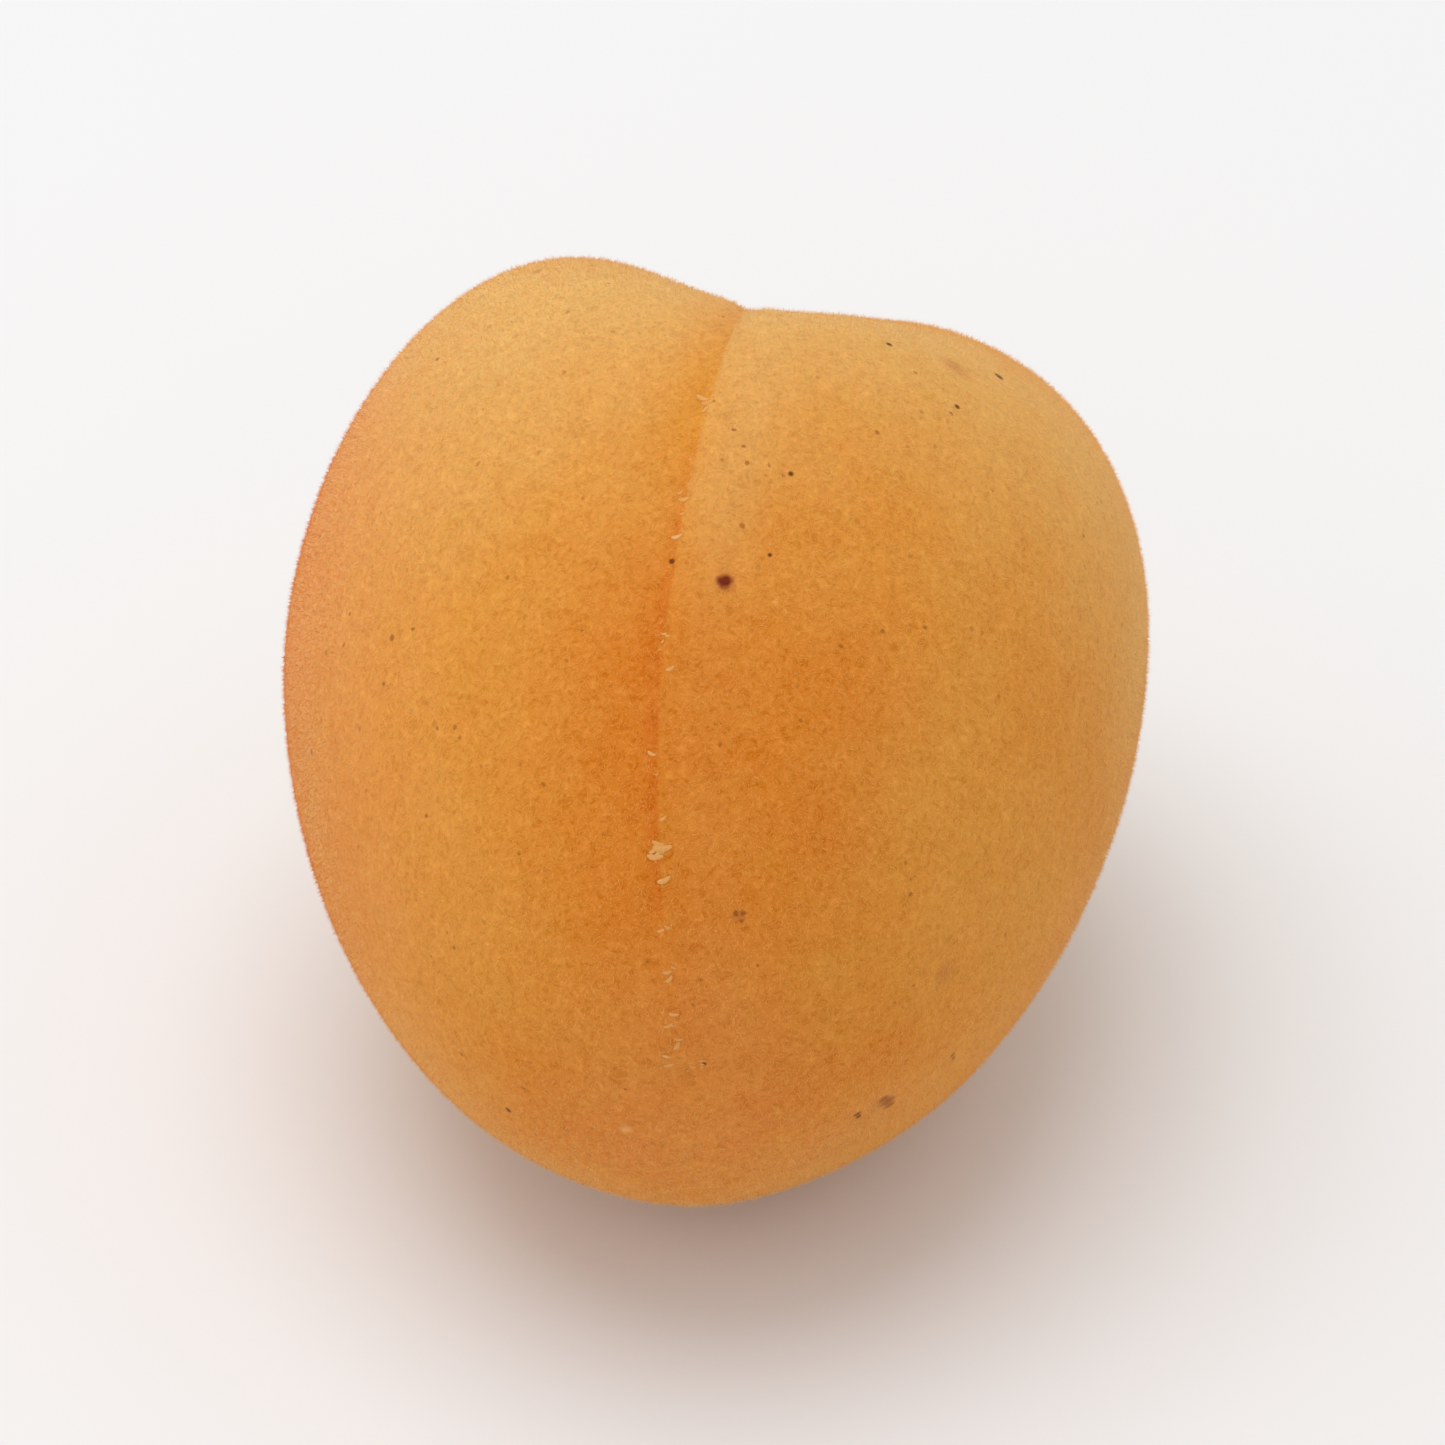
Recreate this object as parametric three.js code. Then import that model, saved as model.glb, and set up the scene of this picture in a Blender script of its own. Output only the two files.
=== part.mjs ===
import * as THREE from "three";

// An apricot lying on its back, in millimetres. +Z is up, +Y runs to the stem end and -Y to the
// blossom end, and the suture runs along the top. Every point of the skin is set by its polar angle
// from the stem end and its longitude, which starts at the top and grows towards +X.

// The plain body, before the cavity, the shoulders and the groove change its overall size.
const WIDTH = 43.1;
const LENGTH = 49.3;
const HEIGHT = 46.0;
const STEM_SHARE = 0.209; // how much wider the stem end is than the blossom end
const BOTH_ENDS_SHARE = 0.062; // how blunt both ends are
const TIP_SIDE = -1.8; // the blossom end's place off the middle line
const TIP_DROP = -1.4;
const SLANT = 2.2; // the right shoulder stands this much further back than the middle
const BACK_SHIFT = -3.2; // moves the lowest part of the back towards the blossom end

// The funnel at the stem end, with the round scar the stem left in it.
const CAVITY_DEPTH = 5.2;
const CAVITY_RADIUS = 5.9;
const SCAR_RADIUS = 1.8;
const SCAR_DEPTH = 0.9;
const SCAR_RIM = 0.2;

// The small dimple where the blossom sat.
const DIMPLE_RADIUS = 1.1;
const DIMPLE_DEPTH = 0.3;

// The suture: its longitude in degrees along the fruit, the broad valley beside it, the notch it cuts
// in the stem end's rim, the fine crease at its bottom, deeper near the stem, and the lip that stands
// up on its right from just past the rim to about half way.
const SUTURE_LEAN = -3.2;
const SUTURE_BOW = 2.9;
const SUTURE_TWIST = 2.9;
const SUTURE_WAVE = 4.5;
const VALLEY_DEPTH = 0.44;
const VALLEY_LEFT = 7.9;
const VALLEY_RIGHT = 6.9;
const NOTCH_DEPTH = 4.05;
const NOTCH_ANGLE = 40;
const NOTCH_SPREAD_TO_STEM = 36;
const NOTCH_SPREAD_TO_TIP = 27;
const CREASE_DEPTH = 0.1;
const CREASE_DEPTH_AT_STEM = 0.3;
const CREASE_WIDTH = 0.8;
const LIP_HEIGHT = 0.25;
const LIP_EDGE = 0.5;
const LIP_WIDTH = 3.0;
const LIP_START = 78;
const LIP_FULL = 102;
const LIP_FADE = 98;
const LIP_END = 136;

// Soft swells of the body: [polar angle, longitude, rise, spread].
const SWELLS = [
  [44, -42, 1.1, 10.9], // left shoulder
  [52, 30, -3.3, 10.4], // right shoulder, flatter
  [144, 148, -0.5, 4.5], // slight hollow beside the blossom end
  [148, 184, 0.3, 5.0], // the fullness under the blossom end
];

const REST_SPOT_RISE = 0.6; // how much of the back is pressed flat where it rests

// The net of the skin: closer rows at both ends and closer columns along the suture.
const ROWS = 66;
const COLUMNS = 80;
const ROWS_AT_ENDS = 0.7;
const COLUMNS_AT_SUTURE = 0.62;

const radians = (degrees) => (degrees * Math.PI) / 180;
const bell = (distance, spread) => Math.exp(-((distance / spread) ** 2));

function smooth(from, to, value) {
  const t = Math.min(Math.max((value - from) / (to - from), 0), 1);
  return t * t * (3 - 2 * t);
}

// Even steps from 0 to 1, drawn together at both ends by `share`.
const drawnToEnds = (t, share) => t - (share * Math.sin(2 * Math.PI * t)) / (2 * Math.PI);

function sutureLongitude(polar) {
  return radians(
    SUTURE_LEAN +
      SUTURE_BOW * Math.sin(polar) +
      SUTURE_TWIST * Math.cos(polar) +
      SUTURE_WAVE * Math.sin(2 * polar),
  );
}

// The smooth body with its two ends, without shoulders or suture.
function bodyPoint(polar, longitude) {
  const c = Math.cos(polar);
  const s = Math.sin(polar);
  const girth = s * (1 + STEM_SHARE * c + BOTH_ENDS_SHARE * c * c);
  const across = (WIDTH / 2) * girth * Math.sin(longitude);
  const up = (HEIGHT / 2) * girth * Math.cos(longitude);
  const fromAxis = Math.hypot(across, up);
  const towardsTip = ((1 - c) / 2) ** 2;
  const towardsStem = (1 + c) / 2;

  let along = (LENGTH / 2) * c + BACK_SHIFT * s * s * Math.max(-Math.cos(longitude), 0);
  along += ((SLANT * across) / (WIDTH / 2)) * towardsStem;
  if (c > 0) {
    along -= CAVITY_DEPTH * bell(fromAxis, CAVITY_RADIUS);
    along -= SCAR_DEPTH * smooth(SCAR_RADIUS, SCAR_RADIUS - 0.5, fromAxis);
    along += SCAR_RIM * bell(fromAxis - SCAR_RADIUS - 0.3, 0.5);
  } else {
    along += DIMPLE_DEPTH * bell(fromAxis, DIMPLE_RADIUS);
  }
  return new THREE.Vector3(across + TIP_SIDE * towardsTip, along, up + TIP_DROP * towardsTip);
}

// How far the suture pulls the skin in (negative) or lifts it, at a point of the body.
function sutureRelief(polar, longitude) {
  const c = Math.cos(polar);
  const girth = Math.sin(polar) * (1 + STEM_SHARE * c + BOTH_ENDS_SHARE * c * c);
  const off = longitude - sutureLongitude(polar);
  const aside = (WIDTH / 2) * girth * Math.sin(off);
  const above = (HEIGHT / 2) * girth * Math.cos(off);
  const degrees = (polar * 180) / Math.PI;

  const valleyWidth = aside < 0 ? VALLEY_LEFT : VALLEY_RIGHT;
  const notchSpread = degrees < NOTCH_ANGLE ? NOTCH_SPREAD_TO_STEM : NOTCH_SPREAD_TO_TIP;
  const depth =
    VALLEY_DEPTH * smooth(170, 110, degrees) +
    NOTCH_DEPTH * bell(degrees - NOTCH_ANGLE, notchSpread);
  const valley = -depth * bell(aside, valleyWidth) * smooth(-7, 5, above);
  const line = smooth(4, 12, degrees) * smooth(158, 95, degrees) * smooth(-1, 2, above);
  const creaseDepth = CREASE_DEPTH + (CREASE_DEPTH_AT_STEM - CREASE_DEPTH) * smooth(85, 55, degrees);
  const crease = -creaseDepth * bell(aside, CREASE_WIDTH);
  const lipRise = smooth(LIP_START, LIP_FULL, degrees) * smooth(LIP_END, LIP_FADE, degrees);
  const lip = LIP_HEIGHT * lipRise * Math.tanh(aside / LIP_EDGE) * bell(aside, LIP_WIDTH);
  return valley + (crease + lip) * line;
}

function skinPoint(polar, longitude) {
  const point = bodyPoint(polar, longitude);
  for (const [swellPolar, swellLongitude, rise, spread] of SWELLS) {
    const a = radians(swellPolar);
    const l = radians(swellLongitude);
    const top = new THREE.Vector3(
      (WIDTH / 2) * Math.sin(a) * Math.sin(l),
      (LENGTH / 2) * Math.cos(a),
      (HEIGHT / 2) * Math.sin(a) * Math.cos(l),
    );
    const length = point.length();
    point.setLength(length + rise * bell(point.distanceTo(top), spread));
  }
  return point.setLength(point.length() + sutureRelief(polar, longitude));
}

function skinGeometry() {
  const points = [skinPoint(0, 0)];
  for (let row = 1; row < ROWS; row++) {
    const polar = Math.PI * drawnToEnds(row / ROWS, ROWS_AT_ENDS);
    for (let column = 0; column < COLUMNS; column++) {
      const turn = 2 * Math.PI * drawnToEnds(column / COLUMNS, COLUMNS_AT_SUTURE);
      points.push(skinPoint(polar, sutureLongitude(polar) + turn));
    }
  }
  points.push(skinPoint(Math.PI, 0));

  const faces = [];
  const at = (row, column) => 1 + (row - 1) * COLUMNS + (column % COLUMNS);
  for (let column = 0; column < COLUMNS; column++) {
    faces.push(0, at(1, column), at(1, column + 1));
    for (let row = 1; row < ROWS - 1; row++) {
      faces.push(at(row, column), at(row + 1, column), at(row + 1, column + 1));
      faces.push(at(row, column), at(row + 1, column + 1), at(row, column + 1));
    }
    faces.push(points.length - 1, at(ROWS - 1, column + 1), at(ROWS - 1, column));
  }

  // Press the back flat where it rests, then stand the flat spot on z = 0 with the fruit centred over it.
  const box = new THREE.Box3().setFromPoints(points);
  const floor = box.min.z + REST_SPOT_RISE;
  const centre = box.getCenter(new THREE.Vector3()).setZ(floor);
  for (const point of points) point.setZ(Math.max(point.z, floor)).sub(centre);

  const geometry = new THREE.BufferGeometry().setFromPoints(points);
  geometry.setIndex(faces);
  geometry.computeVertexNormals();
  return geometry;
}

const skin = new THREE.MeshStandardMaterial({ color: 0xe39a4b, roughness: 0.75, metalness: 0 });
const apricot = new THREE.Mesh(skinGeometry(), skin);
apricot.name = "apricot";

const group = new THREE.Group();
group.name = "apricot_fruit";
group.add(apricot);

export default group;
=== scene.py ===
import math

import bpy
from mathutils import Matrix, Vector


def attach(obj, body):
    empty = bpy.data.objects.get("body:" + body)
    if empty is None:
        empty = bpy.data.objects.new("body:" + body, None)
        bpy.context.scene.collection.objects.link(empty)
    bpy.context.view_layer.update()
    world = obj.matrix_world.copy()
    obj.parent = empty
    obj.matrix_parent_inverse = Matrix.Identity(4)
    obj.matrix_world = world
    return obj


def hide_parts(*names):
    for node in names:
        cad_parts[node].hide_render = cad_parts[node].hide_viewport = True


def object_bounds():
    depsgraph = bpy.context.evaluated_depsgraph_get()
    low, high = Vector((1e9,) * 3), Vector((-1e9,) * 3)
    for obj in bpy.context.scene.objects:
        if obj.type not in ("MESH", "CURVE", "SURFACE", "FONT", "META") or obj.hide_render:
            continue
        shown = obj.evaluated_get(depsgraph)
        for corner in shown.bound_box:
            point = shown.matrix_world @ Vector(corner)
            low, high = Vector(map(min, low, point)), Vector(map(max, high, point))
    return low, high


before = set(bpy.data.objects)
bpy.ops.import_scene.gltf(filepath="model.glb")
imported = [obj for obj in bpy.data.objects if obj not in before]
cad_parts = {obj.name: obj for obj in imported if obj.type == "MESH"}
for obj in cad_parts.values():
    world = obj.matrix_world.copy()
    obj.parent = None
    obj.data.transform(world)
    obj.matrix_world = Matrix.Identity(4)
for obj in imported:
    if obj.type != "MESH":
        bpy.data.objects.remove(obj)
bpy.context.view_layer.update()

MM = 0.001

# ---------------------------------------------------------------- sizes, in millimetres and degrees

BODY = {
    "Width": 43.1,
    "Length": 49.3,
    "Height": 46.0,
    "Stem end share": 0.209,
    "Both ends share": 0.062,
    "Tip to the side": -1.8,
    "Tip down": -1.4,
    "Slant": 2.2,
    "Back shift": -3.2,
    "Cavity depth": 5.2,
    "Cavity radius": 5.9,
    "Scar radius": 1.8,
    "Scar depth": 0.9,
    "Scar rim": 0.2,
    "Dimple radius": 1.1,
    "Dimple depth": 0.3,
    "Suture lean": -3.2,
    "Suture bow": 2.9,
    "Suture twist": 2.9,
    "Suture wave": 4.5,
    "Valley depth": 0.44,
    "Valley left": 7.9,
    "Valley right": 6.9,
    "Notch depth": 4.05,
    "Notch angle": 40.0,
    "Notch spread to stem": 36.0,
    "Notch spread to tip": 27.0,
    "Crease depth": 0.1,
    "Crease depth at stem": 0.3,
    "Crease width": 0.8,
    "Lip height": 0.25,
    "Lip edge": 0.5,
    "Lip width": 3.0,
    "Middle x": -0.312,
    "Middle y": -0.664,
    "Floor z": -23.138,
    "Unevenness": 0.07,
    "Seed": 11.0,
}
SWELLS = {  # polar angle, longitude, rise, spread
    "Left shoulder": (44, -42, 1.1, 10.9),
    "Right shoulder": (52, 30, -3.3, 10.4),
    "Hollow by the tip": (144, 148, -0.5, 4.5),
    "Fullness under the tip": (148, 184, 0.3, 5.0),
}
# Where a form comes in: none of it at the first value, all of it at the second. The polar angle
# is 0 degrees at the stem and 180 at the tip, and the height is above the fruit's axis.
VALLEY_POLAR = (170, 110)
VALLEY_HEIGHT = (-7, 5)
CREASE_STARTS_POLAR = (4, 12)
CREASE_ENDS_POLAR = (158, 95)
CREASE_HEIGHT = (-1, 2)
CREASE_AT_STEM_POLAR = (85, 55)
LIP_RISES_POLAR = (78, 102)
LIP_FALLS_POLAR = (136, 98)
SCAR_EDGE = 0.5  # how far in from its radius the scar reaches its depth
SCAR_RIM_AT = 0.3  # how far outside the scar its rim stands
SCAR_RIM_WIDTH = 0.5

SKIN_ROWS = 248
SKIN_COLUMNS = 376
ROWS_AT_ENDS = 0.7  # how far the rows crowd towards the two ends
COLUMNS_AT_SUTURE = 0.62  # how far the columns crowd towards the suture
WELD_DISTANCE = 2e-7  # metres

HALF_HEIGHT = 22.5  # where the upper hairs part from the under ones
PER_SQUARE_MM = 1e6
HAIR = {
    "Hairs per mm2": 29.0,
    "Length": 0.26,
    "Thickness": 0.024,
    "Lie towards the tip": 0.7,
    "Disorder": 0.9,
    "Clear of the floor": 0.45,
}
HAIR_QUARTERS = (  # name, side, upper or under, seed
    ("upper_left", -1.0, 1.0, 3),
    ("upper_right", 1.0, 1.0, 4),
    ("under_left", -1.0, -1.0, 5),
    ("under_right", 1.0, -1.0, 6),
)
HAIRLESS_RADIUS = (3.2, 1.6)  # the hairs thin out round the stem scar
HAIR_SIZES = (0.45, 1.35)  # the shortest and longest, as shares of the length
FLAKE = {
    "Length": 0.58,
    "Thickness": 0.05,
    "Curl": 0.2,
    "Bend": 0.5,
    "Larger in the middle": 0.6,
    "Smaller by the tip": 0.15,
    "Flakes along the line": 0.8,
    "Ring x": -1.27,
    "Ring y": -23.87,
    "Ring z": 23.13,
    "Ring radius": 0.95,
    "Flakes in the ring": 10.0,
}
FLAKE_CLUSTERS = (  # polar angle, spread in degrees, flakes per square millimetre
    (88.4, 0.5, 8.0),
    (93.0, 0.8, 3.0),
    (106.0, 1.5, 2.5),
    (121.6, 0.7, 5.0),
    (124.2, 0.5, 5.0),
    (146.0, 2.0, 13.0),
    (156.1, 0.8, 9.0),
    (162.0, 1.2, 10.0),
    (170.6, 1.4, 9.0),
)

FLAKES_START_POLAR = (88, 92)
FLAKES_END_POLAR = (172, 168)
LARGE_FLAKES_POLAR = 146.0
LARGE_FLAKES_SPREAD = 3.0  # degrees
SMALL_FLAKES_POLAR = (150, 156)
FLAKE_LINE_WIDTH = 0.24  # how far the flakes stray from the groove
FLAKE_RING_WIDTH = 0.14
FLAKE_ANGLES = (-0.6, 1.1)  # turned on the skin, in radians
FLAKE_SIZES = (0.35, 1.25)

# Small marks of weather and twig on the skin: x, y, z and radius.
DARK_SPOT = ((0.5, -9.4, 41.5, 0.37),)
DARK_DOTS = (
    (-2.1, -8.3, 41.8, 0.14),
    (3.7, -3.8, 43.6, 0.13),
    (14.2, 9.7, 38.6, 0.25),
    (12.0, 3.9, 41.5, 0.15),
    (8.6, 6.9, 43.0, 0.17),
    (2.7, -8.0, 42.0, 0.11),
    (7.15, -20.2, 15.75, 0.18),
    (7.25, -20.0, 15.35, 0.16),
    (-10.2, -20.3, 16.0, 0.16),
    (-0.4, -23.9, 22.7, 0.11),
)
BROWN_MARKS = (
    (1.1, -21.3, 30.4, 0.17),
    (1.5, -21.25, 30.4, 0.16),
    (1.4, -21.4, 30.0, 0.14),
    (2.2, -22.3, 27.9, 0.1),
    (8.5, -19.4, 16.0, 0.34),
    (8.7, -19.0, 15.5, 0.46),
    (8.8, -18.7, 14.9, 0.38),
    (11.9, -16.5, 16.3, 0.19),
    (11.95, -16.3, 15.9, 0.17),
    (-12.5, -19.0, 18.6, 0.13),
    (-16.0, -6.7, 35.3, 0.19),
    (-16.4, -8.2, 33.6, 0.13),
    (-17.7, -8.6, 30.9, 0.13),
    (-20.3, -5.3, 26.4, 0.2),
    (-14.2, -14.5, 30.5, 0.13),
    (-14.1, 7.9, 41.1, 0.15),
    (9.3, 8.4, 42.5, 0.15),
    (10.8, 8.6, 41.9, 0.14),
    (16.2, 3.7, 37.4, 0.16),
    (17.4, 1.6, 35.9, 0.15),
)
BARE_MARGIN = 0.08
BARE_MARKS = [  # no hairs stand on these
    (x, y, z, radius + BARE_MARGIN) for x, y, z, radius in DARK_SPOT + DARK_DOTS + BROWN_MARKS
]
RIPE_PATCHES = (
    (7.4, -13.4, 38.0, 4.2),
    (5.0, -18.0, 33.0, 3.0),
    (9.0, 16.0, 12.0, 5.0),
    (-12.0, 14.0, 16.0, 4.0),
)
SCUFFS = (
    (1.3, -21.3, 30.3, 0.42),
    (11.4, -17.6, 23.0, 0.9),
    (12.0, 7.6, 40.9, 1.1),
    (8.5, -19.3, 15.7, 0.9),
)
PALE_SPECKS = (
    (-5.5, -20.9, 30.4, 0.12),
    (3.0, -10.1, 40.8, 0.17),
    (-11.1, -19.5, 26.6, 0.12),
    (-4.3, -23.3, 17.6, 0.4),
)

STEM_SCAR = {"Radius": 1.5, "Thickness": 0.42, "Roughness": 0.11}
SCAR_BUNDLES = 9.0
BUNDLES_AT = 0.62  # as a share of the scar's radius
BUNDLE_WIDTH = 0.12
SCAR_SEGMENTS = 96
SCAR_RINGS = 64

# ---------------------------------------------------------------- colours, as linear red, green, blue

# PALE_GOLD serves as partly painted sheen on the shoulders and as a partly painted highlight on the
# lip beside the groove.
PALE_GOLD = (0.75, 0.42, 0.125)
STEM_GOLD = (0.76, 0.37, 0.055)
GOLD = (0.73, 0.335, 0.054)
ORANGE = (0.715, 0.27, 0.030)
RIPE = (0.67, 0.20, 0.011)
UNDER_TIP = (0.72, 0.235, 0.045)
DEEP = (0.65, 0.15, 0.002)
RICH = (0.715, 0.25, 0.0)
# Painted shade for the crease along the groove.
GROOVE_SHADE = (0.62, 0.125, 0.004)
BLUSH = (0.78, 0.27, 0.065)
MOTTLE_LIGHT = (0.745, 0.375, 0.045)
MOTTLE_DEEP = (0.715, 0.235, 0.035)
GRAIN = (0.095, 0.062, 0.020)  # added on the crests of the grain, taken off in its hollows

# Partly painted shade in the crease by the stem.
STEM_LINE = (0.30, 0.07, 0.006)
STEM_RUST = (0.55, 0.19, 0.02)
STEM_GREY = (0.27, 0.15, 0.10)
BARK = (0.10, 0.045, 0.02)

SCUFF_TAN = (0.52, 0.18, 0.04)
MARK_BROWN = (0.28, 0.072, 0.006)
SPOT_HALO = (0.48, 0.11, 0.03)
SPOT_MAROON = (0.19, 0.018, 0.002)
DOT_BROWN = (0.16, 0.035, 0.002)
DOT_RED = (0.58, 0.09, 0.015)
PORE_DARK = (0.30, 0.085, 0.01)
PORE_LIGHT = (0.42, 0.14, 0.02)
SPECK_CREAM = (0.95, 0.56, 0.20)

HAIR_GOLD = (0.86, 0.46, 0.10)
HAIR_PALE = (0.88, 0.54, 0.20)
HAIR_WARM = (0.78, 0.27, 0.03)
FLAKE_TAN = (0.77, 0.32, 0.07)
FLAKE_CREAM = (0.83, 0.43, 0.16)
FIBRE_DARK = (0.055, 0.018, 0.006)
FIBRE_BROWN = (0.27, 0.135, 0.035)
FIBRE_STRAW = (0.36, 0.22, 0.09)

WHITE = (1.0, 1.0, 1.0, 1.0)
FLOOR_GREY = (0.86, 0.86, 0.86, 1.0)

# Where a colour comes in: none of it at the first value, all of it at the second. The polar
# angle is 0 degrees at the stem and 180 at the tip, and x, y, z and the radius are millimetres.
SHOULDER_POLAR = (118, 66)
STEM_END_POLAR = (60, 35)
RIPE_POLAR = (94, 128)
UNDER_TIP_POLAR = (120, 168)
TIP_TONE_POLAR = (148, 172)
RICH_POLAR = 91  # one angle: strongest there
DEEP_AT_NOTCH_POLAR = 72
DEEP_POLAR = (92, 124)
DEEP_ENDS_POLAR = (165, 140)
PALE_LIP_POLAR = (122, 98)
LIP_STARTS_POLAR = (58, 76)
LIP_ENDS_POLAR = (180, 162)
GROOVE_POLAR = (92, 112)
GROOVE_ENDS_POLAR = (160, 146)
BESIDE_STEM_POLAR = (80, 40)
STEM_LINE_POLAR = (78, 14)
PALE_HAIR_POLAR = (130, 70)
BLOTCHES_Y = (9, 16)
BLUSH_X = (-11, -21)
RED_DOTS_X = (-13, -18)
RED_DOTS_Y = (4, 10)
BROWN_MARKS_BEHIND_Y = (11, 15)
BROWN_MARKS_BELOW_Z = (11, 8)
BROWN_MARKS_BELOW_Y = (-16, -10)
WARM_HAIR_X = (-15.5, -21)
RUST_RADIUS = (6.5, 2.4)
GREY_RADIUS = (3.9, 2.1)
BARK_RADIUS = (2.0, 1.6)

# ---------------------------------------------------------------- camera and lights, in metres

CAMERA_AZIMUTH = 0.42  # degrees
CAMERA_ELEVATION = 42.0  # degrees
CAMERA_DISTANCE = 0.5
CAMERA_LENS = 245.0  # millimetres
CAMERA_SENSOR = 36.0  # millimetres
SKY_STRENGTH = 0.71
LIGHT_TARGET = (0, 0, 0.02)
SOFTBOXES = (  # name, place, width, watts
    ("overhead", (-0.1, 0.05, 0.72), 0.6, 2.05),
    ("left", (-0.6, 0.0, 0.22), 0.5, 0.42),
)
FLOOR_HALF_SIDE = 3.0


# ---------------------------------------------------------------- node trees written as arithmetic


class Value:
    """A number or vector inside a node tree, used in ordinary arithmetic."""

    def __init__(self, tree, socket):
        self.tree = tree
        self.socket = socket

    def math(self, operation, *others):
        return add(self.tree, "ShaderNodeMath", (self, *others), operation=operation)

    def __add__(self, other):
        return self.math("ADD", other)

    __radd__ = __add__

    def __sub__(self, other):
        return self.math("SUBTRACT", other)

    def __rsub__(self, other):
        return self.math("MULTIPLY", -1).math("ADD", other)

    def __mul__(self, other):
        return self.math("MULTIPLY", other)

    __rmul__ = __mul__

    def __truediv__(self, other):
        return self.math("DIVIDE", other)

    def vector(self, operation, *others, out=0):
        return add(self.tree, "ShaderNodeVectorMath", (self, *others), out=out, operation=operation)

    def parts(self):
        node = add(self.tree, "ShaderNodeSeparateXYZ", (self,)).socket.node
        return [Value(self.tree, out) for out in node.outputs]


def add(tree, kind, inputs=(), out=0, **settings):
    """Put one node in the tree, wire its inputs, and hand back one of its outputs."""
    node = tree.nodes.new(kind)
    for name, value in settings.items():
        setattr(node, name, value)
    for key, value in inputs.items() if isinstance(inputs, dict) else enumerate(inputs):
        if isinstance(value, Value):
            tree.links.new(value.socket, node.inputs[key])
        elif value is not None:
            node.inputs[key].default_value = value
    return Value(tree, node.outputs[out])


def combine(x, y, z):
    """A vector from three numbers, at least one of them a Value."""
    tree = next(v.tree for v in (x, y, z) if isinstance(v, Value))
    return add(tree, "ShaderNodeCombineXYZ", (x, y, z))


def bell(distance, spread):
    """1 at no distance, falling off smoothly over the spread."""
    t = distance / spread
    return (t * t * -1.0).math("EXPONENT")


def smooth(start, end, value):
    """From 0 to 1 as the value goes from start to end, easing in and out."""
    inputs = (value, start, end)
    return add(value.tree, "ShaderNodeMapRange", inputs, interpolation_type="SMOOTHSTEP")


def noise(position, scale, detail=2.0, seed=0.0, roughness=0.5):
    """Soft noise from about -1 to 1."""
    inputs = {"Vector": position, "W": seed, "Scale": scale, "Detail": detail, "Roughness": roughness}
    return add(position.tree, "ShaderNodeTexNoise", inputs, noise_dimensions="4D") * 2.0 - 1.0


def new_tree(name, inputs, takes_mesh=False):
    """A Geometry Nodes tree with named inputs; hands back the tree and its inputs as Values."""
    tree = bpy.data.node_groups.new(name, "GeometryNodeTree")
    if takes_mesh:
        tree.interface.new_socket("Geometry", in_out="INPUT", socket_type="NodeSocketGeometry")
    for title, value in inputs.items():
        kind = "NodeSocketMaterial" if title == "Material" else "NodeSocketFloat"
        kind = "NodeSocketInt" if isinstance(value, int) else kind
        socket = tree.interface.new_socket(title, in_out="INPUT", socket_type=kind)
        if not kind.endswith("Material"):
            socket.default_value = value
    tree.interface.new_socket("Geometry", in_out="OUTPUT", socket_type="NodeSocketGeometry")
    entry = tree.nodes.new("NodeGroupInput")
    given = {out.name: Value(tree, out) for out in entry.outputs if out.name}
    return tree, given


def end_tree(geometry, material):
    """Close a tree: realised, with its material set."""
    tree = geometry.tree
    real = add(tree, "GeometryNodeRealizeInstances", (geometry,))
    done = add(tree, "GeometryNodeSetMaterial", {"Geometry": real, "Material": material})
    tree.links.new(done.socket, tree.nodes.new("NodeGroupOutput").inputs[0])
    return tree


def grow(name, tree, values, mesh=None):
    """Run a tree with its named inputs, and keep the result as a plain mesh object."""
    piece = bpy.data.objects.new(name, mesh.copy() if mesh else bpy.data.meshes.new(name))
    bpy.context.scene.collection.objects.link(piece)
    modifier = piece.modifiers.new("grow", "NODES")
    modifier.node_group = tree
    for item in tree.interface.items_tree:
        if item.item_type == "SOCKET" and item.in_out == "INPUT" and item.name in values:
            modifier[item.identifier] = values[item.name]
    graph = bpy.context.evaluated_depsgraph_get()
    grown = bpy.data.meshes.new_from_object(
        piece.evaluated_get(graph), preserve_all_data_layers=True, depsgraph=graph
    )
    piece.modifiers.remove(modifier)
    piece.data = grown
    grown.name = name
    return piece


# ---------------------------------------------------------------- the skin


def suture_longitude(polar, given):
    """The suture's longitude, which wanders from side to side on its way from stem to tip."""
    lean = (
        given["Suture lean"]
        + given["Suture bow"] * polar.math("SINE")
        + given["Suture twist"] * polar.math("COSINE")
        + given["Suture wave"] * (polar * 2.0).math("SINE")
    )
    return lean.math("RADIANS")


def drawn_to_ends(t, share):
    """Steps from 0 to 1, packed closer together near both ends."""
    return t - (t * (2 * math.pi)).math("SINE") * (share / (2 * math.pi))


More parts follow.
